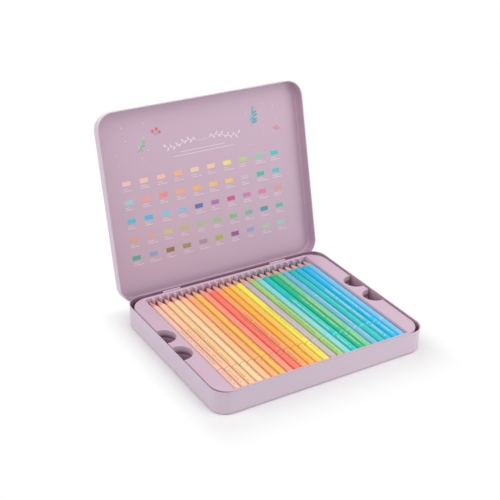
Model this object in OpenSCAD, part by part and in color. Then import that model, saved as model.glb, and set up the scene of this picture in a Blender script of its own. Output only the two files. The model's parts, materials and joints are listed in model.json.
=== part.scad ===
// Hinged metal tin that holds fifty round colour pencils in two stacked formed trays.
// Origin: centre of the underside of the tin. +X right, +Y back (hinge side), +Z up. Millimetres.

/* [Pencils] */
// Length of a sharpened pencil from its flat end to its tip
pencil_len = 175; // [120:1:190]
// Outside diameter of the round barrel
pencil_d = 7.2; // [6.4:0.1:8.4]
// Length of the sharpened cone, wood and core together
cone_len = 15; // [10:0.5:22]
// Diameter of the coloured core
core_d = 3.3; // [2:0.1:4]
// Width of the blunt end of the tip
tip_d = 0.7; // [0.4:0.1:1.2]
// Rounding of the flat end's edge
end_round = 0.6; // [0.2:0.1:1.2]
// Pencils in the upper tray
upper_count = 24; // [12:1:30]
// Pencils in the lower tray
lower_count = 26; // [12:1:30]
// Smallest gap between neighbouring pencils
pencil_gap = 0.16; // [0.1:0.02:1]

/* [Trays] */
// Thickness of the formed sheet
tray_t = 0.7; // [0.4:0.1:1.2]
// Radial clearance between a pencil and its groove
groove_clear = 0.1; // [0.05:0.05:0.3]
// Depth of a groove below the top of the ridges beside it
groove_depth = 2.1; // [1:0.1:3]
// Clearance at each end of a pencil
end_gap = 0.6; // [0.3:0.1:2]
// How much wider the recess is at the top than at the pencils, on each side
recess_draft = 1; // [0.2:0.1:2]
// Width of the flat ledge beside the recess
side_ledge = 16.9; // [14:0.1:26]
// Width of the ledge in front of the flat ends
front_ledge = 2.9; // [2:0.1:6]
// Width of the ledge behind the tips
back_ledge = 3.4; // [2:0.1:6]
// Rounding of the tray's corners, seen from above
tray_corner_r = 19.5; // [10:0.5:24]
// Rounding of the tray's top edge
tray_edge_r = 1; // [0.3:0.1:1.4]
// Chamfer of the edges where the ledge drops into the recesses
recess_edge = 0.4; // [0.1:0.1:0.6]
// How far the upper pencils lie below the top of their tray
pencil_drop = 0.8; // [0.2:0.1:2]
// Clearance above the lower pencils
layer_gap = 0.3; // [0.2:0.1:1]
// Height of the feet under the lower tray
foot_h = 5.1; // [2:0.1:12]
// How far the lower tray's skirt stays above its feet
skirt_lift = 1.5; // [1.2:0.1:3]
// Radius of a foot
foot_r = 6; // [3:0.5:8]
// Radius of a finger recess
finger_r = 12.1; // [9:0.1:14]
// Distance from the tray's edge to the middle of a finger recess
finger_inset = 2; // [0:0.1:3]
// Distance between the middles of the two finger recesses of a side
finger_spacing = 32.5; // [29:0.5:60]
// How far the two finger recesses' middle lies behind the tray's middle
finger_shift = 1.5; // [-4:0.1:4]
// Width of the rib between two tips, at the back wall
rib_w = 2.6; // [1:0.1:3]
// Width of the rib's front edge
rib_nose_w = 0.8; // [0.4:0.1:1]
// How far the rib reaches forward
rib_len = 5; // [2:0.5:6]
// How far the rib stays below the ledge
rib_drop = 0.7; // [0.3:0.1:2]

/* [Tin] */
// Thickness of the sheet metal
sheet_t = 0.5; // [0.3:0.05:0.8]
// Rounding of the tin's corners, seen from above
corner_r = 16; // [8:0.5:20]
// Rounding between the tin's wall and its floor
floor_r = 2.6; // [1:0.1:4]
// Radius of the rolled rim
bead_r = 0.5; // [0.4:0.05:0.9]
// Gap between a tray's side and the wall
tray_side_gap = 1.4; // [0.8:0.1:3]
// Gap between a tray's front and the wall
tray_front_gap = 1.6; // [0.8:0.1:5]
// Gap between a tray's back and the wall
tray_back_gap = 3.1; // [2.6:0.1:6]
// How far the upper tray lies below the rim
tray_drop = 1.1; // [0.1:0.1:2]
// Clearance under each tray
seat_gap = 0.1; // [0.05:0.05:0.2]

/* [Lid] */
// Height of the lid from its lower edge to its top
lid_depth = 12.8; // [9:0.1:24]
// Rounding between the lid's wall and its top
lid_edge_r = 3; // [1:0.1:4.5]
// Clearance between the lid's wall and the rolled rim
lid_clear = 0.2; // [0.15:0.05:0.6]
// Radius of the lid's rolled edge, which stands outwards
curl_r = 0.6; // [0.55:0.05:0.9]
// How far the hinge axis lies below the rim
hinge_drop = 6.4; // [4:0.1:7]
// Opening angle of the lid as it stands
open_angle = 104.5; // [0:0.5:110]
// Distance of the front dimples from the middle
dimple_x = 80; // [40:1:90]
// Distance of the side dimples from the hinge axis
dimple_y = 30; // [24:1:80]
// Radius of the ball that presses a dimple
dimple_r = 4; // [2:0.5:5]
// How far a dimple stands into the lid
dimple_in = 0.45; // [0.3:0.05:0.7]

/* [Hinge] */
// Distance of each hinge from the middle
hinge_x = 63.5; // [40:0.5:80]
// Width of the strap's knuckle
strap_w = 19.5; // [10:0.5:30]
// Thickness of the strap
strap_t = 0.45; // [0.3:0.05:0.5]
// Radius of the hinge wire
pin_r = 0.4; // [0.3:0.05:0.45]
// How far the wire reaches into the rolled edge at each end
pin_hold = 4; // [2:0.5:8]
// Running clearance around the wire in the knuckle
pin_clear = 0.05; // [0.02:0.01:0.1]
// Clearance between the lid's rolled edge and the knuckle
knuckle_gap = 0.4; // [0.2:0.1:1]
// Radius of the roll at the top of the strap
strap_roll_r = 1.1; // [0.7:0.05:1.2]
// How far the strap's roll stays below the rim
strap_drop = 0.9; // [0.4:0.1:3]

/* [Hidden] */
$fn = 64;
fit_gap = 0.02;     // between the core and the wood
over = 1;           // how far a cutter runs past what it cuts
pencil_r = pencil_d / 2;
core_r = core_d / 2;
groove_r = pencil_r + groove_clear;

// Plan of the recess: both trays share it
recess_w = max(upper_count, lower_count) * (pencil_d + pencil_gap);
recess_len = pencil_len + 2 * end_gap;
upper_pitch = recess_w / upper_count;
lower_pitch = recess_w / lower_count;
tray_w = recess_w + 2 * (recess_draft + side_ledge);
tray_d = recess_len + front_ledge + back_ledge;

// Plan of the tin around the trays
base_w = tray_w + 2 * (tray_side_gap + sheet_t);
base_d = tray_d + tray_front_gap + tray_back_gap + 2 * sheet_t;
tray_y0 = -base_d / 2 + sheet_t + tray_front_gap;   // front edge of the trays
tray_yc = tray_y0 + tray_d / 2;                     // middle of the trays
finger_yc = tray_yc + finger_shift;                 // middle of the finger recesses
recess_y0 = tray_y0 + front_ledge;                  // front wall of the recess
recess_y1 = recess_y0 + recess_len;                 // back wall of the recess
pencil_y0 = recess_y0 + end_gap;                    // flat ends of the pencils

// Heights, from the tin's floor up
lower_z0 = sheet_t + seat_gap;
lower_axis_z = lower_z0 + foot_h + tray_t + groove_clear + pencil_r;
lower_top_z = lower_axis_z + pencil_r + layer_gap;
upper_z0 = lower_top_z + seat_gap;
upper_axis_z = upper_z0 + tray_t + groove_clear + pencil_r;
upper_top_z = upper_axis_z + pencil_r + pencil_drop;
base_h = upper_top_z + tray_drop;

// Rim, lid and hinge axis
bead_out = 2 * bead_r - sheet_t;                    // how far the rim stands out of the wall
lid_in = bead_out + lid_clear;                      // from the tin's wall to the lid's inner face
lid_out = lid_in + sheet_t;
lid_w = base_w + 2 * lid_out;
lid_d = base_d + 2 * lid_out;
lid_corner_r = corner_r + lid_out;
axis_y = base_d / 2 + lid_in + curl_r;              // in the middle of the lid's rolled edge
axis_z = base_h - hinge_drop;
lid_z0 = axis_z - curl_r;
lid_top_z = lid_z0 + lid_depth;
dimple_z = base_h - 2 * bead_r - dimple_r / 2;      // just under the rolled rim when closed
knuckle_r = pin_r + pin_clear + strap_t;            // outer radius of the strap's knuckle
notch_w = strap_w + 2 * knuckle_gap;

// Paint of each pencil, left to right
upper_paint = [
    [0.99, 0.81, 0.74], [0.99, 0.81, 0.66], [0.99, 0.83, 0.62], [0.98, 0.86, 0.67],
    [0.99, 0.80, 0.59], [0.99, 0.72, 0.47], [0.99, 0.78, 0.38], [0.99, 0.62, 0.52],
    [0.99, 0.50, 0.42], [0.99, 0.67, 0.44], [0.99, 0.74, 0.28], [0.99, 0.81, 0.36],
    [0.98, 0.95, 0.36], [0.79, 0.73, 0.82], [0.66, 0.86, 0.46], [0.55, 0.87, 0.91],
    [0.04, 0.82, 0.78], [0.04, 0.76, 0.58], [0.46, 0.84, 0.62], [0.47, 0.76, 0.90],
    [0.14, 0.80, 0.80], [0.18, 0.78, 0.88], [0.03, 0.76, 0.95], [0.44, 0.80, 0.94]
];
lower_paint = [
    [0.22, 0.33, 0.66], [0.60, 0.38, 0.64], [0.80, 0.20, 0.42], [0.78, 0.42, 0.66],
    [0.90, 0.42, 0.64], [0.88, 0.58, 0.48], [0.90, 0.64, 0.46], [0.86, 0.66, 0.54],
    [0.84, 0.78, 0.42], [0.72, 0.74, 0.34], [0.62, 0.78, 0.50], [0.52, 0.78, 0.48],
    [0.42, 0.76, 0.38], [0.36, 0.74, 0.54], [0.08, 0.58, 0.60], [0.22, 0.74, 0.60],
    [0.16, 0.68, 0.52], [0.50, 0.62, 0.80], [0.50, 0.36, 0.12], [0.56, 0.50, 0.22],
    [0.66, 0.50, 0.60], [0.62, 0.70, 0.14], [0.50, 0.22, 0.48], [0.56, 0.60, 0.86],
    [0.62, 0.84, 0.58], [0.56, 0.84, 0.76]
];
tin_colour = [0.78, 0.72, 0.78];
tray_colour = [0.84, 0.73, 0.80];
strap_colour = [0.80, 0.74, 0.80];
wire_colour = [0.70, 0.70, 0.72];

function two(i) = i < 10 ? str("0", i) : str(i);
function upper_name(i) = str("upper_pencil_", two(i + 1));
function lower_name(i) = str("lower_pencil_", two(i + 1));
function upper_x(i) = (i - (upper_count - 1) / 2) * upper_pitch;
function lower_x(i) = (i - (lower_count - 1) / 2) * lower_pitch;

// Sweeps a profile once round a rectangle with rounded corners. In the profile, X is the
// distance outwards from the middle of a corner's arc, and Y is the height.
module sweep_round(w, d, r) {
    for (side = [0:3]) {
        half = side % 2 == 0 ? w / 2 - r : d / 2 - r;
        run = side % 2 == 0 ? d - 2 * r : w - 2 * r;
        rotate([0, 0, 90 * side]) {
            translate([half, run / 2, 0]) rotate([90, 0, 0]) linear_extrude(run) children();
            translate([half, run / 2, 0]) rotate_extrude(angle = 90) children();
        }
    }
}

module slab(w, d, z0, z1) {
    translate([-w / 2, -d / 2, z0]) cube([w, d, z1 - z0]);
}

// Quarter of a ring in the profile, from the wall (right) to the flat (bottom)
module bend(r, t) {
    intersection() {
        difference() {
            circle(r);
            circle(r - t);
        }
        translate([0, -r]) square([r, r]);
    }
}

// Wall, bend and flat of a drawn pan; the flat reaches in to the arc's middle
module pan_profile(r, h, edge_r, t) {
    translate([r - t, edge_r]) square([t, h - edge_r]);
    translate([r - edge_r, edge_r]) bend(edge_r, t);
    square([r - edge_r, t]);
}

module tin_base() {
    color(tin_colour) difference() {
        union() {
            sweep_round(base_w, base_d, corner_r) union() {
                pan_profile(corner_r, base_h - bead_r, floor_r, sheet_t);
                translate([corner_r - sheet_t + bead_r, base_h - bead_r]) circle(bead_r);
            }
            slab(base_w - 2 * corner_r, base_d - 2 * corner_r, 0, sheet_t);
        }
        for (sx = [-1, 1]) strap_slot(sx * hinge_x);
    }
}

// Slot in the back wall for a strap's tongue
module strap_slot(x) {
    translate([x - strap_w / 2 - fit_gap, base_d / 2 - sheet_t - over, axis_z - knuckle_r - fit_gap])
        cube([strap_w + 2 * fit_gap, sheet_t + 2 * over, strap_t + 2 * fit_gap]);
}

// Stamped strap: knuckle round the wire, tongue through the wall, plate inside with a rolled top
module hinge_strap(x) {
    plate_y = base_d / 2 - sheet_t - fit_gap - strap_t;
    roll_z = base_h - strap_drop - strap_roll_r;
    color(strap_colour) translate([x - strap_w / 2, 0, 0]) difference() {
        union() {
            translate([0, axis_y, axis_z]) rotate([0, 90, 0]) cylinder(h = strap_w, r = knuckle_r);
            translate([0, plate_y, axis_z - knuckle_r]) cube([strap_w, axis_y - plate_y, strap_t]);
            translate([0, plate_y, axis_z - knuckle_r]) cube([strap_w, strap_t, roll_z - axis_z + knuckle_r]);
            translate([0, plate_y + strap_t - strap_roll_r, roll_z])
                rotate([0, 90, 0]) cylinder(h = strap_w, r = strap_roll_r);
        }
        translate([-over, axis_y, axis_z])
            rotate([0, 90, 0]) cylinder(h = strap_w + 2 * over, r = pin_r + pin_clear);
        translate([-over, plate_y + strap_t - strap_roll_r, roll_z])
            rotate([0, 90, 0]) cylinder(h = strap_w + 2 * over, r = strap_roll_r - strap_t);
    }
}

// Turns what is drawn closed to the lid's standing angle
module opened() {
    translate([0, axis_y, axis_z]) rotate([-open_angle, 0, 0]) translate([0, -axis_y, -axis_z])
        children();
}

module hinge_wire(x) {
    len = strap_w + 2 * (knuckle_gap + pin_hold);
    color(wire_colour) opened()
        translate([x - len / 2, axis_y, axis_z]) rotate([0, 90, 0]) cylinder(h = len, r = pin_r);
}

// Round cap of a pressed dimple, standing on the XY plane
module dimple_cap() {
    height = dimple_in + sheet_t / 2;
    rotate_extrude() intersection() {
        translate([0, height - dimple_r]) circle(dimple_r);
        square([dimple_r, height]);
    }
}

// The four dimples, standing inwards from the middle of the wall's thickness, moved by shift
module dimples(shift) {
    mid_x = lid_w / 2 - sheet_t / 2 - shift;
    mid_y = lid_d / 2 - sheet_t / 2 - shift;
    for (s = [-1, 1]) {
        translate([s * dimple_x, -mid_y, dimple_z]) rotate([-90, 0, 0]) dimple_cap();
        translate([s * mid_x, axis_y - dimple_y, dimple_z]) rotate([0, -90 * s, 0]) dimple_cap();
    }
}

module tin_lid_closed() {
    pin_len = strap_w + 2 * (knuckle_gap + pin_hold + fit_gap);
    difference() {
        union() {
            translate([0, 0, lid_top_z]) mirror([0, 0, 1]) {
                sweep_round(lid_w, lid_d, lid_corner_r) union() {
                    pan_profile(lid_corner_r, lid_depth - curl_r, lid_edge_r, sheet_t);
                    translate([lid_corner_r - sheet_t + curl_r, lid_depth - curl_r]) circle(curl_r);
                }
                slab(lid_w - 2 * lid_corner_r, lid_d - 2 * lid_corner_r, 0, sheet_t);
            }
            dimples(0);
        }
        dimples(-sheet_t);
        for (sx = [-1, 1]) {
            translate([sx * hinge_x - notch_w / 2, axis_y - curl_r - over, lid_z0 - over])
                cube([notch_w, 2 * (curl_r + over), over + curl_r + knuckle_r + knuckle_gap]);
            translate([sx * hinge_x - pin_len / 2, axis_y, axis_z])
                rotate([0, 90, 0]) cylinder(h = pin_len, r = pin_r + fit_gap);
        }
    }
}

module tin_lid() {
    color(tin_colour) opened() tin_lid_closed();
}

// Grooves and recess of a tray, to be cut out of it
module recess(axis_h, top_h, count, pitch) {
    ridge_h = axis_h - groove_r + groove_depth;
    half = recess_w / 2;
    translate([0, recess_y1, 0]) rotate([90, 0, 0]) linear_extrude(recess_len) polygon([
        [-half, ridge_h], [half, ridge_h],
        [half + recess_draft, top_h], [half + recess_draft, top_h + over],
        [-half - recess_draft, top_h + over], [-half - recess_draft, top_h]
    ]);
    recess_chamfer(top_h);
    for (i = [0:count - 1])
        translate([(i - (count - 1) / 2) * pitch, recess_y1, axis_h])
            rotate([90, 0, 0]) cylinder(h = recess_len, r = groove_r);
}

// Chamfers of the recess's four top edges
module recess_chamfer(top_h) {
    w = recess_w + 2 * recess_draft;
    for (sx = [-1, 1])
        translate([sx * w / 2, recess_y1, top_h]) rotate([90, 0, 0]) linear_extrude(recess_len) edge_diamond();
    for (y = [recess_y0, recess_y1])
        translate([-w / 2, y, top_h]) rotate([90, 0, 90]) linear_extrude(w) edge_diamond();
}

module edge_diamond() {
    polygon([[recess_edge, 0], [0, recess_edge], [-recess_edge, 0], [0, -recess_edge]]);
}

// Upright rib between two tips
module rib(x, z0, z1) {
    translate([x, recess_y1, z0]) linear_extrude(z1 - z0) polygon([
        [-rib_w / 2, tray_t / 2], [-rib_nose_w / 2, -rib_len], [rib_nose_w / 2, -rib_len], [rib_w / 2, tray_t / 2]
    ]);
}

module finger_holes(r, z0, z1) {
    for (sx = [-1, 1], sy = [-1, 1])
        translate([sx * (tray_w / 2 - finger_inset), finger_yc + sy * finger_spacing / 2, z0])
            cylinder(h = z1 - z0, r = r);
}

// Chamfers of the finger recesses' top edges
module finger_chamfers(top_h) {
    for (sx = [-1, 1], sy = [-1, 1])
        translate([sx * (tray_w / 2 - finger_inset), finger_yc + sy * finger_spacing / 2, top_h - recess_edge])
            cylinder(h = 2 * recess_edge, r1 = finger_r, r2 = finger_r + 2 * recess_edge);
}

// Formed tray: skirt, ledge, grooved recess and finger recesses
module tray(z0, axis_h, top_h, count, pitch) {
    floor_z = axis_h - groove_r - tray_t;
    difference() {
        union() {
            translate([0, tray_yc, top_h]) mirror([0, 0, 1]) {
                sweep_round(tray_w, tray_d, tray_corner_r)
                    pan_profile(tray_corner_r, top_h - z0, tray_edge_r, tray_t);
                slab(tray_w - 2 * tray_corner_r, tray_d - 2 * tray_corner_r, 0, tray_t);
            }
            translate([-recess_w / 2 - recess_draft - tray_t, recess_y0 - tray_t, floor_z])
                cube([recess_w + 2 * (recess_draft + tray_t), recess_len + 2 * tray_t, top_h - tray_t / 2 - floor_z]);
            intersection() {
                finger_holes(finger_r + tray_t, z0, top_h - tray_t / 2);
                translate([0, tray_yc, 0])
                    slab(tray_w - tray_t, tray_d, z0, top_h);
            }
        }
        recess(axis_h, top_h, count, pitch);
        finger_holes(finger_r, z0 - over, top_h + over);
        finger_chamfers(top_h);
    }
    for (i = [1:count - 1])
        rib((i - count / 2) * pitch, axis_h - groove_r + groove_depth - tray_t / 2, top_h - rib_drop);
}

module upper_tray() {
    color(tray_colour) tray(upper_z0, upper_axis_z, upper_top_z, upper_count, upper_pitch);
}

module lower_tray() {
    foot_x = recess_w / 2 - 2 * foot_r;
    foot_y = recess_len / 2 - 2 * foot_r;
    color(tray_colour) union() {
        tray(lower_z0 + skirt_lift, lower_axis_z, lower_top_z, lower_count, lower_pitch);
        for (sx = [-1, 0, 1], sy = [-1, 0, 1])
            translate([sx * foot_x, tray_yc + sy * foot_y, lower_z0]) cylinder(h = foot_h + tray_t / 2, r = foot_r);
    }
}

// Round pencil along +Y from its flat end: painted barrel with a wooden cone, and the core in it
module pencil(x, z, paint) {
    barrel_len = pencil_len - cone_len;
    slope = (pencil_r - tip_d / 2) / cone_len;
    bore_r = core_r + fit_gap;
    translate([x, pencil_y0, z]) rotate([-90, 0, 0]) {
        color(paint) rotate_extrude() difference() {
            union() {
                polygon([
                    [0, 0], [pencil_r - end_round, 0], [pencil_r - end_round, end_round], [pencil_r, end_round],
                    [pencil_r, barrel_len], [bore_r, barrel_len + (pencil_r - bore_r) / slope], [0, barrel_len]
                ]);
                intersection() {
                    translate([pencil_r - end_round, end_round]) circle(end_round);
                    square(pencil_r);
                }
            }
            translate([-over, -over]) square([over + bore_r, pencil_len + 2 * over]);
        }
        color(paint) rotate_extrude() polygon([
            [0, 0], [core_r, 0], [core_r, barrel_len + (pencil_r - core_r) / slope],
            [tip_d / 2, pencil_len], [0, pencil_len]
        ]);
    }
}

tin_base();
tin_lid();
hinge_strap(-hinge_x);  // hinge_strap_left
hinge_strap(hinge_x);  // hinge_strap_right
hinge_wire(-hinge_x);  // hinge_wire_left
hinge_wire(hinge_x);  // hinge_wire_right
lower_tray();
upper_tray();
for (i = [0:lower_count - 1])
    pencil(lower_x(i), lower_axis_z, lower_paint[i % len(lower_paint)]);
for (i = [0:upper_count - 1])
    pencil(upper_x(i), upper_axis_z, upper_paint[i % len(upper_paint)]);
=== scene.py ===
"""Looks of a hinged pencil tin: paint, tray plastic, pencils, lid print, and a plain studio."""

import json
import math
import random

import bmesh
import bpy
from mathutils import Matrix, Vector


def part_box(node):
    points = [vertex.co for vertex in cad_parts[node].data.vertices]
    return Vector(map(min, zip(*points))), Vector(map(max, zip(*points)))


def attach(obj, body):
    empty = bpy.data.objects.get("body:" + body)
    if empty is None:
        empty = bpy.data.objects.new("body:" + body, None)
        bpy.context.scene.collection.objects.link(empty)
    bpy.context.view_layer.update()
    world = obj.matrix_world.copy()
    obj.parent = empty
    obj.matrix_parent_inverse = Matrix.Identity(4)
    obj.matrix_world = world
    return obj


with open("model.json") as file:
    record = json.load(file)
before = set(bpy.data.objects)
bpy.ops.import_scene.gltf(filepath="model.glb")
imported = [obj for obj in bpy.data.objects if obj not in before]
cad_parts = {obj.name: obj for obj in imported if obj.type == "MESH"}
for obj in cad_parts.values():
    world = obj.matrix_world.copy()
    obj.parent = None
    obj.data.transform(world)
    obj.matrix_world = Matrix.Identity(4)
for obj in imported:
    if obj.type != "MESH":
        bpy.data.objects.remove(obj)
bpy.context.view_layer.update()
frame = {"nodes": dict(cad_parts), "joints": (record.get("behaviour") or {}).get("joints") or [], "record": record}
nodes = frame["nodes"]
MM = 0.001

# ---------------------------------------------------------------- sizes from the frame

HINGE = next(j for j in frame["joints"] if j["name"] == "lid_hinge")
AXIS = Vector(HINGE["pos_m"])
OPEN_ANGLE = math.radians(-HINGE["range_deg"][0])

# from where a point is on the open lid to where it is when the lid is shut, and back
TO_CLOSED = Matrix.Translation(AXIS) @ Matrix.Rotation(OPEN_ANGLE, 4, "X") @ Matrix.Translation(-AXIS)
TO_OPEN = TO_CLOSED.inverted()

SHEET = 0.5 * MM                    # thickness of the tin's sheet
BASE_CORNER = 16 * MM               # corner radius of the base, seen from above
BASE_FOOT = 2.6 * MM                # radius where its walls turn into its floor
BASE_BEAD = 0.5 * MM                # how far its rolled rim stands out of the wall
LID_CORNER = 17.2 * MM              # corner radius of the lid
LID_EDGE = 3 * MM                   # radius where its walls turn into its top
LID_CURL = 0.7 * MM                 # how far its rolled edge stands out of the wall


def closed_box(node):
    """Lowest and highest corner of a lid node, turned back to where it is when the lid is shut."""
    corners = [TO_CLOSED @ v.co for v in nodes[node].data.vertices]
    low = Vector([min(c[i] for c in corners) for i in range(3)])
    high = Vector([max(c[i] for c in corners) for i in range(3)])
    return low, high


BASE_LOW, BASE_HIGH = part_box("tin_base")
LID_LOW, LID_HIGH = closed_box("tin_lid")
CEILING_Z = LID_HIGH.z - SHEET      # inner face of the shut lid

# ---------------------------------------------------------------- colours, as rendered


def linear(colour):
    """Display colour to the linear values that a shader takes."""
    return [c / 12.92 if c <= 0.04045 else ((c + 0.055) / 1.055) ** 2.4 for c in colour]


OUTER_PAINT = (0.780, 0.712, 0.768)
INNER_PAINT = (0.745, 0.640, 0.712)     # inside the lid
WALL_PAINT = (0.745, 0.625, 0.700)      # inside the base, on its walls
PAINTED_SHADE_INSIDE = (0.600, 0.465, 0.540)      # painted shade, inside the base on its floor and along the hinge
STRAP_PAINT = (0.800, 0.725, 0.790)
STEEL = (0.72, 0.72, 0.74)
TRAY = (0.830, 0.722, 0.792)
TRAY_PAINTED_SHADE = (0.580, 0.440, 0.500)       # painted shade, down in the tray's recess beside the pencils
WOOD = (0.990, 0.760, 0.690)
WOOD_DARK = (0.950, 0.640, 0.570)
WARM_FOIL = (0.450, 0.270, 0.150)       # on pencils that are more red than blue
COOL_FOIL = (0.900, 0.860, 0.480)       # on the others
COOL_RING = (0.860, 0.950, 0.930)       # and their ring
WHITE_INK = (0.880, 0.815, 0.860)
CAPTION_INK = (0.87, 0.81, 0.85)
RULE_INK = (0.88, 0.83, 0.87)
TEAL_LEAF = (0.42, 0.72, 0.75)
TEAL_STEM = (0.26, 0.50, 0.54)
GREEN_LEAF = (0.62, 0.83, 0.62)
GREEN_STEM = (0.40, 0.62, 0.44)
RED_BERRY = (0.86, 0.42, 0.43)
PINK_BERRY = (0.86, 0.52, 0.50)
STALK_INK = (0.62, 0.45, 0.50)

# two more, as a shader takes them
MOTTLE = (0.72, 0.70, 0.72, 1)          # an ink is mottled towards its product with this
FLOOR_GREY = (0.87, 0.87, 0.87, 1)

# ---------------------------------------------------------------- node helpers

# sockets of a Mix node that mixes colours
MIX_FIRST = 6
MIX_SECOND = 7
MIX_RESULT = 2


class Nodes:
    """A material being built: short calls that add and link its shader's nodes."""

    def __init__(self, name):
        self.material = bpy.data.materials.new(name)
        self.material.use_nodes = True
        self.tree = self.material.node_tree
        self.shader = self.tree.nodes["Principled BSDF"]

    def new(self, kind, **settings):
        """A new node of this kind, with its settings."""
        node = self.tree.nodes.new(kind)
        for key, value in settings.items():
            setattr(node, key, value)
        return node

    def put(self, socket, value):
        """Links a socket, or sets a plain value."""
        if isinstance(value, bpy.types.NodeSocket):
            self.tree.links.new(value, socket)
        else:
            socket.default_value = value

    def math(self, operation, *values, clamp=False):
        """Result of a Math node on these sockets and numbers."""
        node = self.new("ShaderNodeMath", operation=operation, use_clamp=clamp)
        for socket, value in zip(node.inputs, values):
            self.put(socket, value)
        return node.outputs[0]

    def length(self, first, second):
        """Length of a vector with these two parts."""
        first_square = self.math("MULTIPLY", first, first)
        second_square = self.math("MULTIPLY", second, second)
        return self.math("SQRT", self.math("ADD", first_square, second_square))

    def scaled(self, share, low, high):
        """low where share is 0 and high where it is 1."""
        return self.math("ADD", self.math("MULTIPLY", share, high - low), low)

    def above(self, value, edge):
        """How far value is above edge, and 0 below it."""
        return self.math("MAXIMUM", self.math("SUBTRACT", value, edge), 0.0)

    def rise(self, value, low, high, kind="LINEAR"):
        """Rises from 0 where value is low to 1 where it is high, and stays level outside."""
        node = self.new("ShaderNodeMapRange", interpolation_type=kind)
        self.put(node.inputs["Value"], value)
        node.inputs["From Min"].default_value = low
        node.inputs["From Max"].default_value = high
        return node.outputs["Result"]

    def step(self, value, edge, soft):
        """0 below edge and 1 above it, over a width of soft."""
        return self.rise(value, edge - soft / 2, edge + soft / 2)

    def between(self, value, low, high, soft):
        """1 where value lies between low and high, with edges that are soft wide."""
        up = self.step(value, low, soft)
        down = self.step(value, high, soft)
        return self.math("SUBTRACT", up, down, clamp=True)

    def mix(self, share, first, second):
        """first where share is 0 and second where it is 1, each a socket or a display colour."""
        node = self.new("ShaderNodeMix", data_type="RGBA")
        self.put(node.inputs["Factor"], share)
        self.put(node.inputs[MIX_FIRST], self.colour(first))
        self.put(node.inputs[MIX_SECOND], self.colour(second))
        return node.outputs[MIX_RESULT]

    def colour(self, value):
        """A socket as it is, or a display colour as a shader takes it."""
        if isinstance(value, bpy.types.NodeSocket):
            return value
        return (*linear(value), 1)

    def position(self):
        """Place on the piece at rest, in metres."""
        return self.new("ShaderNodeTexCoord").outputs["Object"]

    def axes(self, vector):
        """The three parts of a vector."""
        node = self.new("ShaderNodeSeparateXYZ")
        self.put(node.inputs[0], vector)
        return node.outputs[0], node.outputs[1], node.outputs[2]

    def noise(self, vector, scale=1.0, detail=3.0, roughness=0.5):
        """Noise between 0 and 1; a larger scale makes it finer."""
        node = self.new("ShaderNodeTexNoise")
        self.put(node.inputs["Vector"], vector)
        node.inputs["Scale"].default_value = scale
        node.inputs["Detail"].default_value = detail
        node.inputs["Roughness"].default_value = roughness
        return node.outputs["Fac"]

    def stretched(self, vector, scale):
        """vector with each part multiplied by its own scale."""
        node = self.new("ShaderNodeMapping")
        self.put(node.inputs["Vector"], vector)
        node.inputs["Scale"].default_value = scale
        return node.outputs[0]

    def bump(self, height, distance, strength):
        """Gives the shader a relief, as deep as distance where height runs from 0 to 1."""
        node = self.new("ShaderNodeBump")
        self.put(node.inputs["Height"], height)
        node.inputs["Distance"].default_value = distance
        node.inputs["Strength"].default_value = strength
        self.put(self.shader.inputs["Normal"], node.outputs[0])

    def vary(self, base, amount, share):
        """base, darker by amount where share is 0 and lighter by amount where it is 1."""
        dark = [max(c - amount, 0) for c in base]
        light = [min(c + amount, 1) for c in base]
        return self.mix(share, dark, light)

    def finish(self, **values):
        """Sets the shader's sockets, such as base_color for Base Color."""
        for key, value in values.items():
            self.put(self.shader.inputs[key.replace("_", " ").title().replace("Ior", "IOR")], value)
        return self.material


class WorldNodes(Nodes):
    """The same calls for the world's own nodes."""

    def __init__(self, world):
        self.tree = world.node_tree
        self.tree.nodes.clear()


def dress(node, material):
    """Gives a CAD node its material in every slot."""
    mesh = nodes[node].data
    if not mesh.materials:
        mesh.materials.append(material)
    for i in range(len(mesh.materials)):
        mesh.materials[i] = material


# ---------------------------------------------------------------- tin paint


def inner_mask(m, point, low, high, corner, edge, depth):
    """1 on the inside of a drawn pan's sheet, 0 on its outside.

    low and high bound the outside of its walls, corner is the corners' radius seen from above,
    edge is the radius where the walls turn into the flat face, and depth runs inwards from it.
    """
    x, y, _ = m.axes(point)
    off_y = m.math("ABSOLUTE", m.math("SUBTRACT", y, (low.y + high.y) / 2))
    past_x = m.above(m.math("ABSOLUTE", x), high.x - corner)
    past_y = m.above(off_y, (high.y - low.y) / 2 - corner)
    reach = m.length(past_x, past_y)
    to_wall = m.math("MAXIMUM", m.math("ADD", reach, edge - corner), 0.0)
    to_face = m.math("MAXIMUM", m.math("SUBTRACT", edge, depth), 0.0)
    return m.math("LESS_THAN", m.length(to_wall, to_face), edge - SHEET / 2)


SHEET_VARIES = 0.012                # how much lighter or darker the tin and the trays get in places
HINGE_SHADE_FROM = 8 * MM           # how far in front of the base's back the painted shade starts
HINGE_SHADE_SOFT = 4 * MM
FLOOR_SHADE_TO = 5 * MM             # how far up its wall the painted shade of its floor reaches
FLOOR_SHADE_SOFT = 6 * MM


def paint_material(name, point_of, inside_of, inner_of):
    """Satin paint: the outer colour, and a pinker inner colour on the inside of the sheet.

    point_of gives the point that the other two look at: inside_of says whether it is inside, and
    inner_of gives the colour there.
    """
    m = Nodes(name)
    place = m.position()
    point = point_of(m, place)
    cloud = m.noise(place, scale=14, detail=4)
    outer = m.vary(OUTER_PAINT, SHEET_VARIES, cloud)
    colour = m.mix(inside_of(m, point), outer, inner_of(m, point, cloud))
    m.bump(m.noise(place, scale=900, detail=2), distance=0.02 * MM, strength=0.35)
    rough = m.scaled(cloud, 0.36, 0.46)
    return m.finish(base_color=colour, roughness=rough, specular_ior_level=0.4)


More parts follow.
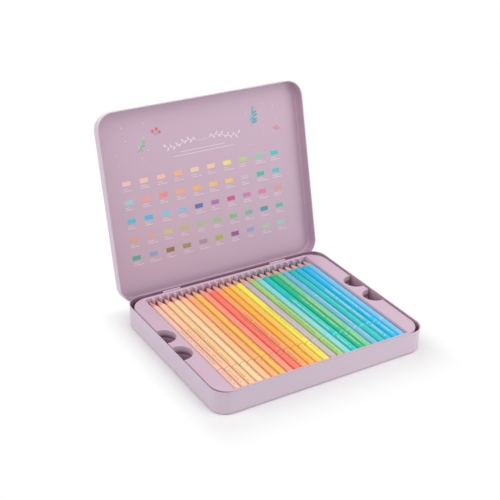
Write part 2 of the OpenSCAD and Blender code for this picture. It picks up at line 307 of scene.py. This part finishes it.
def base_paint():
    """Paint of the base, with painted shade inside on its floor and along the hinge."""
    bead = Vector((BASE_BEAD, BASE_BEAD, 0))

    def inside_of(m, point):
        depth = m.math("SUBTRACT", m.axes(point)[2], BASE_LOW.z)
        return inner_mask(m, point, BASE_LOW + bead, BASE_HIGH - bead, BASE_CORNER, BASE_FOOT, depth)

    def inner_of(m, point, cloud):
        _, y, z = m.axes(point)
        # painted shade: the inside turns darker towards the hinge and down on the floor
        near_hinge = m.step(y, BASE_HIGH.y - HINGE_SHADE_FROM, HINGE_SHADE_SOFT)
        low_down = m.math("SUBTRACT", 1.0, m.step(z, FLOOR_SHADE_TO, FLOOR_SHADE_SOFT))
        walls = m.vary(WALL_PAINT, SHEET_VARIES, cloud)
        return m.mix(m.math("MAXIMUM", near_hinge, low_down), walls, PAINTED_SHADE_INSIDE)

    return paint_material("tin_paint_satin", lambda m, place: place, inside_of, inner_of)


def lid_paint():
    """Paint of the lid, worked out where each point is when the lid is shut."""
    curl = Vector((LID_CURL, LID_CURL, 0))

    def closed_point(m, place):
        node = m.new("ShaderNodeMapping")
        m.put(node.inputs["Vector"], place)
        node.inputs["Rotation"].default_value = TO_CLOSED.to_euler()
        node.inputs["Location"].default_value = TO_CLOSED.to_translation()
        return node.outputs[0]

    def inside_of(m, point):
        depth = m.math("SUBTRACT", LID_HIGH.z, m.axes(point)[2])
        return inner_mask(m, point, LID_LOW + curl, LID_HIGH - curl, LID_CORNER, LID_EDGE, depth)

    def inner_of(m, _, cloud):
        return m.vary(INNER_PAINT, SHEET_VARIES, cloud)

    return paint_material("lid_paint_satin", closed_point, inside_of, inner_of)


def strap_material():
    """Paint of the hinge straps, a little glossier than the tin's."""
    m = Nodes("strap_paint")
    place = m.position()
    colour = m.vary(STRAP_PAINT, 0.02, m.noise(place, scale=120))
    m.bump(m.noise(place, scale=1500, detail=2), distance=0.02 * MM, strength=0.4)
    return m.finish(base_color=colour, roughness=0.34, specular_ior_level=0.5)


def wire_material():
    """Plain steel with the fine marks of drawing along the wire."""
    m = Nodes("hinge_wire_steel")
    place = m.position()
    drawn = m.noise(m.stretched(place, (120, 2400, 2400)))
    m.bump(drawn, distance=0.01 * MM, strength=0.5)
    rough = m.scaled(drawn, 0.22, 0.37)
    return m.finish(base_color=m.vary(STEEL, 0.05, drawn), roughness=rough, metallic=1.0)


# ---------------------------------------------------------------- tray plastic

TRAY_PAINTED_SHADE_FROM = 4 * MM             # how far below the tray's top the painted shade starts
TRAY_PAINTED_SHADE_TO = 8 * MM


def tray_material(node):
    """Thin formed plastic: a soft, slightly uneven sheen, and painted shade, darker down in the recess."""
    m = Nodes(node + "_plastic")
    place = m.position()
    cloud = m.noise(place, scale=22, detail=4)
    grain = m.noise(place, scale=700, roughness=0.6)
    uneven = m.math("ADD", m.math("MULTIPLY", cloud, 1.5), grain)
    m.bump(uneven, distance=0.04 * MM, strength=0.35)
    depth = m.math("SUBTRACT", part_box(node)[1].z, m.axes(place)[2])
    # painted shade: darker the further below the tray's top
    deep = m.rise(depth, TRAY_PAINTED_SHADE_FROM, TRAY_PAINTED_SHADE_TO, kind="SMOOTHSTEP")
    colour = m.mix(deep, m.vary(TRAY, SHEET_VARIES, cloud), TRAY_PAINTED_SHADE)
    rough = m.scaled(grain, 0.42, 0.56)
    return m.finish(base_color=colour, roughness=rough, specular_ior_level=0.35)


# ---------------------------------------------------------------- pencils

BARREL_LEN = 160 * MM               # painted part of a pencil
BARREL_VARIES = 0.014               # how much lighter or darker its paint gets in places
CORE_FROM = 9 * MM                  # from the end of the paint to the bare core
CORE_SHADE = 0.93                   # the core's colour as a share of the paint's
WAVER = 0.5 * MM                    # how much the edge of the sharpened paint wavers
RING_FROM_END = 33 * MM             # foil ring, from the pencil's flat end
RING_WIDTH = 0.7 * MM
RING_SHARE = 0.6                    # how much of the ring's colour is the foil's
SHORT_ROW = (6 * MM, RING_FROM_END - 4 * MM)    # rows of dashes, from and to
LONG_ROW = (RING_FROM_END + 6 * MM, RING_FROM_END + 74 * MM)
ROW_SOFT = 0.2 * MM
ROW_HALF = 0.17                     # half a row's width round the barrel, in radians
ROW_EDGE = 0.03                     # and how soft its long edges are
DASH_SHARE = 0.62                   # how much of the way from dash to dash is a dash
DASH_BREAK = 0.44                   # where the noise is lower than this, no dash is printed
WARM_DASH_SHARE = 0.5               # how much of a dash's colour is the foil's
COOL_DASH_SHARE = 0.75
LACQUER = 0.3                       # weight of the clear coat over the paint
PENCIL_ROLL = 0.75                  # the most that a pencil is turned either way, in radians
DASH_PITCH = (1.9, 2.7)             # from dash to dash, in mm
PENCIL_SEED = 7


def pencil_material(name, paint, axis_x, axis_z, low_y, roll, pitch):
    """Glossy paint with a foil ring and plain foil dashes, bare wood and a waxy core.

    The pencil lies along y from low_y, with its axis at axis_x and axis_z. It is turned by roll,
    and from one dash to the next it is pitch millimetres.
    """
    m = Nodes(name)
    place = m.position()
    x, y, z = m.axes(place)
    warm = paint[0] > paint[2]
    along = m.math("SUBTRACT", y, low_y)
    across = m.math("SUBTRACT", x, axis_x)
    height = m.math("SUBTRACT", z, axis_z)
    angle = m.math("SUBTRACT", m.math("ARCTAN2", across, height), roll)

    # paint, a little uneven
    cloud = m.noise(place, scale=60)
    barrel = m.vary(paint, BARREL_VARIES, cloud)

    # foil: a ring, and two rows of dashes with gaps here and there
    ring = m.between(along, RING_FROM_END, RING_FROM_END + RING_WIDTH, soft=0.1 * MM)
    beat = m.math("FRACT", m.math("MULTIPLY", along, 1 / (pitch * MM)))
    broken = m.noise(m.stretched(place, (0, 260, 0)), detail=2, roughness=0.6)
    in_dash = m.math("LESS_THAN", beat, DASH_SHARE)
    dashes = m.math("MULTIPLY", in_dash, m.math("GREATER_THAN", broken, DASH_BREAK))
    on_line = m.between(angle, -ROW_HALF, ROW_HALF, ROW_EDGE)
    in_row = m.math("ADD", m.between(along, *SHORT_ROW, ROW_SOFT), m.between(along, *LONG_ROW, ROW_SOFT))
    dashes = m.math("MULTIPLY", m.math("MULTIPLY", on_line, dashes), in_row)
    dash_share = m.math("MULTIPLY", dashes, WARM_DASH_SHARE if warm else COOL_DASH_SHARE)

    # sharpened cone: wood with fine grain along the pencil, then the core
    grain = m.noise(m.stretched(place, (900, 60, 900)), detail=4, roughness=0.65)
    wood = m.mix(grain, WOOD_DARK, WOOD)
    core = m.vary([c * CORE_SHADE for c in paint], 0.03, m.noise(place, scale=1200, detail=2))
    waver = m.scaled(m.noise(place, scale=500, detail=2), -WAVER / 2, WAVER / 2)
    is_wood = m.step(m.math("ADD", along, waver), BARREL_LEN, soft=0.12 * MM)
    is_core = m.step(along, BARREL_LEN + CORE_FROM, soft=0.05 * MM)

    colour = m.mix(dash_share, barrel, WARM_FOIL if warm else COOL_FOIL)
    colour = m.mix(m.math("MULTIPLY", ring, RING_SHARE), colour, WARM_FOIL if warm else COOL_RING)
    colour = m.mix(is_wood, colour, wood)
    colour = m.mix(is_core, colour, core)
    bare = m.math("MAXIMUM", is_wood, is_core)
    rough = m.math("ADD", m.scaled(bare, 0.22, 0.54), m.math("MULTIPLY", cloud, 0.08))
    m.bump(m.math("MULTIPLY", grain, bare), distance=0.06 * MM, strength=0.8)
    return m.finish(base_color=colour, roughness=rough, specular_ior_level=0.35,
                    coat_weight=m.scaled(bare, LACQUER, 0.0), coat_roughness=0.12)


def paint_of(node):
    """The paint colour that the record gives a pencil."""
    slot = next(s["material_slot"] for s in frame["record"]["subparts"] if s["node"] == node)
    return next(m["base_color"] for m in frame["record"]["materials"] if m["slot"] == slot)[:3]


def dress_pencils():
    """Gives each pencil its own paint, turned and spaced a little differently."""
    chance = random.Random(PENCIL_SEED)
    for node in sorted(n for n in nodes if "_pencil_" in n):
        low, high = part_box(node)
        middle = (low + high) / 2
        roll = chance.uniform(-PENCIL_ROLL, PENCIL_ROLL)
        pitch = chance.uniform(*DASH_PITCH)
        name = node + "_finish"
        dress(node, pencil_material(name, paint_of(node), middle.x, middle.z, low.y, roll, pitch))


# ---------------------------------------------------------------- lid print

INK_PROUD = 0.03 * MM               # how far the ink stands out of the lid's inner face
INK_SUNK = 0.05 * MM                # how far its solid reaches into the sheet
INK_LAYER = "ink"                   # holds each shape's own colour
MOTTLE_SHARE = 0.30                 # how far the mottling goes at its darkest


def on_lid(u, v, w):
    """Point of the open lid: u to the right, v from the hinge edge, w out of the inner face."""
    shut = Vector((u, LID_HIGH.y - v, CEILING_Z - w))
    return TO_OPEN @ shut


class Print:
    """Flat printed shapes on the lid's inner face, gathered in one mesh with a colour each."""

    def __init__(self):
        self.bm = bmesh.new()
        self.ink = self.bm.loops.layers.float_color.new(INK_LAYER)

    def shape(self, outline, colour):
        """A thin slab with this outline, a list of (u, v) that runs round it once."""
        front = [self.bm.verts.new(on_lid(u, v, INK_PROUD)) for u, v in outline]
        back = [self.bm.verts.new(on_lid(u, v, -INK_SUNK)) for u, v in outline]
        faces = [self.bm.faces.new(front), self.bm.faces.new(list(reversed(back)))]
        for i in range(len(outline)):
            j = (i + 1) % len(outline)
            faces.append(self.bm.faces.new([front[i], back[i], back[j], front[j]]))
        for face in faces:
            for loop in face.loops:
                loop[self.ink] = (*colour, 1)

    def piece(self, name, material):
        """Makes the shapes a piece of the scene that rides on the lid."""
        bmesh.ops.recalc_face_normals(self.bm, faces=self.bm.faces)
        mesh = bpy.data.meshes.new(name)
        self.bm.to_mesh(mesh)
        self.bm.free()
        obj = bpy.data.objects.new(name, mesh)
        bpy.context.scene.collection.objects.link(obj)
        mesh.materials.append(material)
        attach(obj, "lid")


CORNER_STEPS = 3                    # facets of a bar's round corner
LEAF_STEPS = 10                     # facets along each edge of a leaf
STEM_STEPS = 12                     # pieces of a sprig's stem
LINE_END = 0.35                     # width towards a line's ends, as a share of its full width


def rounded_bar(u, v, width, height, radius):
    """Outline of a bar with round corners, about its middle at (u, v)."""
    points = []
    for quarter in range(4):
        corner_u = u + (width / 2 - radius) * (1 if quarter in (0, 3) else -1)
        corner_v = v + (height / 2 - radius) * (1 if quarter in (0, 1) else -1)
        for step in range(CORNER_STEPS + 1):
            angle = math.radians(90 * (quarter + step / CORNER_STEPS))
            points.append((corner_u + radius * math.cos(angle), corner_v + radius * math.sin(angle)))
    return points


def leaf(u, v, length, width, heading):
    """Outline of a pointed leaf that starts at (u, v), a little fuller at its foot than at its tip."""
    points = []
    for i in range(2 * LEAF_STEPS):
        t = i / LEAF_STEPS if i <= LEAF_STEPS else 2 - i / LEAF_STEPS
        side = 1 if i <= LEAF_STEPS else -1
        bulge = side * width / 2 * math.sin(math.pi * t) * (1.15 - 0.3 * t)
        points.append((u + length * t * math.cos(heading) - bulge * math.sin(heading),
                       v + length * t * math.sin(heading) + bulge * math.cos(heading)))
    return points


def ribbon(points, width):
    """Outline of a line of this width along points, tapering to its ends."""
    left, right = [], []
    for i, (u, v) in enumerate(points):
        before, after = points[max(i - 1, 0)], points[min(i + 1, len(points) - 1)]
        heading = math.atan2(after[1] - before[1], after[0] - before[0])
        swell = math.sin(math.pi * (i + 0.5) / len(points))
        half = width / 2 * (LINE_END + (1 - LINE_END) * swell)
        left.append((u - half * math.sin(heading), v + half * math.cos(heading)))
        right.append((u + half * math.sin(heading), v - half * math.cos(heading)))
    return left + right[::-1]


# the upper pencils' numbers by colour family; the lower pencils follow them in their own order
CHART_ORDER_ABOVE = (1, 2, 5, 6, 4, 3, 13, 15, 19, 17, 16, 8,
                     9, 10, 11, 7, 12, 14, 18, 21, 22, 23, 24, 20)
CHART_COLUMNS = 10
CHART_MIDDLE_U = -3.6 * MM
CHART_TOP_V = 117.8 * MM            # middle of the top row
COLUMN_PITCH = 19.2 * MM
ROW_PITCH = 19.1 * MM
PRINT_FADE = 0.30                   # share of the lid's paint in a printed colour
SWATCH = (9.2 * MM, 4.6 * MM)       # width and height of a colour field
SWATCH_ROUND = 0.35 * MM
CAPTION_RULES = (                   # how far below the field, then least and greatest length, in mm
    (5.2, 4.0, 8.0),
    (7.4, 8.0, 13.0),
)
CAPTION_HEIGHT = 0.6 * MM
CAPTION_ROUND = 0.28 * MM
CAPTION_SEED = 11


def chart_paints():
    """The paint of each pencil in the tin, in the chart's order."""
    above = [f"upper_pencil_{number:02d}" for number in CHART_ORDER_ABOVE]
    below = sorted(n for n in nodes if n.startswith("lower_pencil_"))
    return [paint_of(node) for node in above + below]


def chart():
    """Rows of colour fields, one for each pencil, each with two short rules in place of words."""
    chance = random.Random(CAPTION_SEED)
    prints = Print()
    for i, paint in enumerate(chart_paints()):
        row, column = divmod(i, CHART_COLUMNS)
        u = CHART_MIDDLE_U + (column - (CHART_COLUMNS - 1) / 2) * COLUMN_PITCH
        v = CHART_TOP_V - row * ROW_PITCH
        faded = [(1 - PRINT_FADE) * p + PRINT_FADE * lid for p, lid in zip(paint, INNER_PAINT)]
        prints.shape(rounded_bar(u, v, *SWATCH, SWATCH_ROUND), linear(faded))
        left = u - SWATCH[0] / 2
        for drop, low, high in CAPTION_RULES:
            length = chance.uniform(low, high) * MM
            rule = rounded_bar(left + length / 2, v - drop * MM, length, CAPTION_HEIGHT, CAPTION_ROUND)
            prints.shape(rule, linear(CAPTION_INK))
    prints.piece("lid_colour_chart", ink_material())


SPRIG_BEND = 0.5                    # how far a sprig's stem turns from foot to tip, in radians
SPRIG_LINE = 0.55 * MM
SHADED_LEAF = 0.88                  # colour of a sprig's leaves on its right, as a share of the others'
STALKS = ((0.5, 1.0), (1.25, 1.15), (2.1, 0.95))    # heading in radians, length as a share of the size
STALK_LINE = 0.4 * MM


def sprig(prints, u, v, heading, size, pairs, leaf_colour, stem_colour):
    """A bent stem with pairs of leaves that get shorter towards its tip, and one leaf at the tip."""
    stem = []
    for i in range(STEM_STEPS + 1):
        t = i / STEM_STEPS
        bend = heading + SPRIG_BEND * (t - 0.5)
        stem.append((u + size * t * math.cos(bend), v + size * t * math.sin(bend)))
    prints.shape(ribbon(stem, SPRIG_LINE), linear(stem_colour))
    for i in range(pairs):
        t = 0.25 + 0.6 * i / max(pairs - 1, 1)
        foot = stem[round(t * STEM_STEPS)]
        length = size * (0.42 - 0.14 * t)
        for side in (-1, 1):
            turned = heading + side * (0.95 - 0.25 * t)
            shade = [c * (1.0 if side > 0 else SHADED_LEAF) for c in leaf_colour]
            prints.shape(leaf(*foot, length, length * 0.44, turned), linear(shade))
    prints.shape(leaf(*stem[-1], size * 0.30, size * 0.15, heading + SPRIG_BEND / 2), linear(leaf_colour))


def berries(prints, u, v, size, colour):
    """Three round berries on short stalks that start at (u, v)."""
    for heading, reach in STALKS:
        end = (u + size * reach * math.cos(heading), v + size * reach * math.sin(heading))
        middle = ((u + end[0]) / 2, (v + end[1]) / 2)
        prints.shape(ribbon([(u, v), middle, end], STALK_LINE), linear(STALK_INK))
        prints.shape(rounded_bar(*end, size * 0.62, size * 0.62, size * 0.30), linear(colour))


BAND_V = 147 * MM                   # height of the leafy band's middle
BAND_GAP = 5 * MM                   # from its middle to where each stem starts
BAND_STEM = 40 * MM                 # length of the stem on each side
BAND_WAVE = 2.2 * MM                # how far the stem swings up and down
BAND_STEPS = 24                     # pieces of the stem, with a leaf at every second one
BAND_LINE = 0.6 * MM
BAND_LEAF = (4.6 * MM, 1.7 * MM)    # length and width
BAND_LEAF_TURN = 0.85               # from the band's line, in radians
BAND_DOT = (1.3 * MM, 1.3 * MM, 0.64 * MM)          # width, height and corner radius
BAND_DOT_PITCH = 3 * MM
BAND_RULES = ((8.5, 52), (12.0, 70))    # how far below it a rule is, and the rule's length, in mm
RULE_HEIGHT = 0.55 * MM
RULE_ROUND = 0.27 * MM


def leafy_band(prints):
    """A wavy stem to each side with leaves up and down, three dots between and two rules below."""
    for side in (-1, 1):
        stem = []
        for i in range(BAND_STEPS + 1):
            t = i / BAND_STEPS
            wave = BAND_WAVE * math.sin(2 * math.pi * t)
            stem.append((side * (BAND_GAP + t * BAND_STEM), BAND_V + wave))
        prints.shape(ribbon(stem, BAND_LINE), linear(WHITE_INK))
        for i in range(2, BAND_STEPS - 1, 2):
            up = 1 if (i // 2) % 2 else -1
            heading = (0 if side > 0 else math.pi) + side * up * BAND_LEAF_TURN
            prints.shape(leaf(*stem[i], *BAND_LEAF, heading), linear(WHITE_INK))
    for place in (-1, 0, 1):
        prints.shape(rounded_bar(place * BAND_DOT_PITCH, BAND_V, *BAND_DOT), linear(WHITE_INK))
    for drop, length in BAND_RULES:
        rule = rounded_bar(0.0, BAND_V - drop * MM, length * MM, RULE_HEIGHT, RULE_ROUND)
        prints.shape(rule, linear(RULE_INK))


DOTS = 22
DOT_ASIDE = (48, 100)               # how far a dot is from the lid's middle line, in mm
DOT_HEIGHT = (132, 176)             # and from its hinge edge
DOT_SIZE = (0.7, 1.3)
DOT_ROUND = 0.49                    # corner radius as a share of the size
DOT_SEED = 5


def scattered_dots(prints):
    """Small dots to the left and right of the leafy band."""
    chance = random.Random(DOT_SEED)
    for _ in range(DOTS):
        side = chance.choice((-1, 1))
        u = side * chance.uniform(*DOT_ASIDE) * MM
        v = chance.uniform(*DOT_HEIGHT) * MM
        size = chance.uniform(*DOT_SIZE) * MM
        prints.shape(rounded_bar(u, v, size, size, size * DOT_ROUND), linear(WHITE_INK))


def ornaments():
    """A leafy band, two sprigs, two bunches of berries and dots: plain decoration, no words."""
    prints = Print()
    leafy_band(prints)
    sprig(prints, 58 * MM, 150 * MM, heading=1.1, size=17 * MM, pairs=4,
          leaf_colour=TEAL_LEAF, stem_colour=TEAL_STEM)
    sprig(prints, -74 * MM, 146 * MM, heading=0.75, size=14 * MM, pairs=3,
          leaf_colour=GREEN_LEAF, stem_colour=GREEN_STEM)
    berries(prints, -52 * MM, 160 * MM, size=5.5 * MM, colour=RED_BERRY)
    berries(prints, 88 * MM, 141 * MM, size=4 * MM, colour=PINK_BERRY)
    scattered_dots(prints)
    prints.piece("lid_ornaments", ink_material())


def ink_material():
    """Printed ink: each shape's own colour, slightly mottled."""
    m = Nodes("lid_ink")
    own = m.new("ShaderNodeAttribute", attribute_name=INK_LAYER).outputs["Color"]
    mottled = m.noise(m.position(), scale=1400, roughness=0.6)
    shade = m.new("ShaderNodeMix", data_type="RGBA", blend_type="MULTIPLY")
    m.put(shade.inputs["Factor"], m.math("MULTIPLY", mottled, MOTTLE_SHARE))
    m.put(shade.inputs[MIX_FIRST], own)
    m.put(shade.inputs[MIX_SECOND], MOTTLE)
    rough = m.scaled(mottled, 0.4, 0.5)
    return m.finish(base_color=shade.outputs[MIX_RESULT], roughness=rough, specular_ior_level=0.35)


# ---------------------------------------------------------------- studio

FLOOR_SIZE = 12                     # in metres, as are the others here
FLOOR_BELOW = 0.0002                # how far the floor lies under the tin
FLOOR_FADE = 0.05                   # how far in front of the tin the floor has run out to white
SIDE_FADE = 1.8                     # how much sooner it does so at the tin's left and right
BACK_FADE = 0.012                   # how far along that way it is at the tin's back
BACK_BEND = 6.0                     # how sharply that comes on towards the back
WORLD_LIGHT = 0.42                  # strength of the light from all round
LAMP_SIZE = 1.0
LAMP_AIM = Vector((0, 0.03, 0.05))
LAMPS = (                           # name, place, and power in watts
    ("top", (0, -0.45, 1.35), 6.0),
    ("right", (0.60, -0.80, 0.32), 6.2),
    ("left", (-1.20, 0.15, 0.60), 7.8),
    ("back", (0.15, 1.10, 0.42), 5.0),
)


def seen_directly(m):
    """1 for camera, mirror and see-through rays, 0 for the rays that carry light to the object."""
    path = m.new("ShaderNodeLightPath")
    seen = m.math("ADD", path.outputs["Is Camera Ray"], path.outputs["Is Glossy Ray"], clamp=True)
    return m.math("ADD", seen, path.outputs["Is Transmission Ray"], clamp=True)


def floor_material():
    """Pale matt floor that keeps the object's shadow, and runs out to plain white further off."""
    m = Nodes("pale_floor")
    m.finish(base_color=FLOOR_GREY, roughness=0.9, specular_ior_level=0.0)
    x, y, _ = m.axes(m.position())
    aside = m.math("MULTIPLY", m.above(m.math("ABSOLUTE", x), BASE_HIGH.x), SIDE_FADE)
    ahead = m.math("MAXIMUM", m.math("SUBTRACT", BASE_LOW.y, y), 0.0)
    back_share = m.math("MAXIMUM", m.math("DIVIDE", y, BASE_HIGH.y), 0.0)
    behind = m.math("MULTIPLY", m.math("POWER", back_share, BACK_BEND), BACK_FADE)
    away = m.rise(m.length(aside, m.math("ADD", ahead, behind)), 0.0, FLOOR_FADE, kind="SMOOTHSTEP")
    white = m.new("ShaderNodeEmission")
    mixed = m.new("ShaderNodeMixShader")
    m.put(mixed.inputs[0], m.math("MULTIPLY", seen_directly(m), away))
    m.put(mixed.inputs[1], m.shader.outputs[0])
    m.put(mixed.inputs[2], white.outputs[0])
    m.put(m.tree.nodes["Material Output"].inputs["Surface"], mixed.outputs[0])
    return m.material


def world_light():
    """Even soft light from all round, and a white background."""
    world = bpy.data.worlds.new("studio")
    bpy.context.scene.world = world
    world.use_nodes = True
    m = WorldNodes(world)
    seen = seen_directly(m)
    soft = m.new("ShaderNodeBackground")
    white = m.new("ShaderNodeBackground")
    for background, strength in ((soft, WORLD_LIGHT), (white, 1.0)):
        background.inputs["Color"].default_value = (1, 1, 1, 1)
        background.inputs["Strength"].default_value = strength
    both = m.new("ShaderNodeMixShader")
    m.put(both.inputs[0], seen)
    m.put(both.inputs[1], soft.outputs[0])
    m.put(both.inputs[2], white.outputs[0])
    m.put(m.new("ShaderNodeOutputWorld").inputs[0], both.outputs[0])


def lamp(name, place, power):
    """A broad square lamp that looks at the tin."""
    data = bpy.data.lights.new(name, "AREA")
    data.size = LAMP_SIZE
    data.energy = power
    obj = bpy.data.objects.new(name, data)
    obj.location = place
    obj.rotation_euler = (LAMP_AIM - obj.location).to_track_quat("-Z", "Y").to_euler()
    bpy.context.scene.collection.objects.link(obj)


def studio():
    """A pale floor and even light, with a broad lamp above, one at each side and one behind."""
    bpy.ops.mesh.primitive_plane_add(size=FLOOR_SIZE, location=(0, 0, -FLOOR_BELOW))
    floor = bpy.context.object
    floor.name = "floor"
    floor.data.materials.append(floor_material())
    world_light()
    for name, place, power in LAMPS:
        lamp(name, place, power)


# ---------------------------------------------------------------- camera

# the camera is turned and raised round the tin's origin, which it sees at ORIGIN_AT
IMAGE = 500                         # width and height of the picture, in the pixels used here
AZIMUTH = math.radians(-32.066)
ELEVATION = math.radians(27.639)
ROLL = math.radians(1.631)
DISTANCE = 1.0768                   # to the origin along the line of sight, in metres
FOCAL_PIXELS = 1090.05
ORIGIN_AT = (272.41, 334.83)        # pixels from the left and the top
SENSOR = 36.0                       # width in mm, as Blender counts it
CLIP_END = 20


def camera():
    """Places the camera where the photo was taken from."""
    level = math.cos(ELEVATION)
    back = Vector((math.sin(AZIMUTH) * level, -math.cos(AZIMUTH) * level, math.sin(ELEVATION)))
    level_right = Vector((math.cos(AZIMUTH), math.sin(AZIMUTH), 0))
    level_up = back.cross(level_right)
    right = math.cos(ROLL) * level_right + math.sin(ROLL) * level_up
    up = math.cos(ROLL) * level_up - math.sin(ROLL) * level_right
    aside = (ORIGIN_AT[0] - IMAGE / 2) / FOCAL_PIXELS * DISTANCE
    above = -(ORIGIN_AT[1] - IMAGE / 2) / FOCAL_PIXELS * DISTANCE
    place = back * DISTANCE - right * aside - up * above
    data = bpy.data.cameras.new("camera")
    data.sensor_width = SENSOR
    data.lens = FOCAL_PIXELS / IMAGE * SENSOR
    data.clip_end = CLIP_END
    obj = bpy.data.objects.new("camera", data)
    bpy.context.scene.collection.objects.link(obj)
    turn = Matrix((right, up, back)).transposed()
    obj.matrix_world = Matrix.Translation(place) @ turn.to_4x4()
    bpy.context.scene.camera = obj


# ---------------------------------------------------------------- the whole

camera()
studio()
bpy.context.scene.view_settings.view_transform = "Standard"

dress("tin_base", base_paint())
dress("tin_lid", lid_paint())
strap_finish = strap_material()
wire_finish = wire_material()
for side in ("left", "right"):
    dress("hinge_strap_" + side, strap_finish)
    dress("hinge_wire_" + side, wire_finish)
for tray in ("upper_tray", "lower_tray"):
    dress(tray, tray_material(tray))
dress_pencils()
chart()
ornaments()
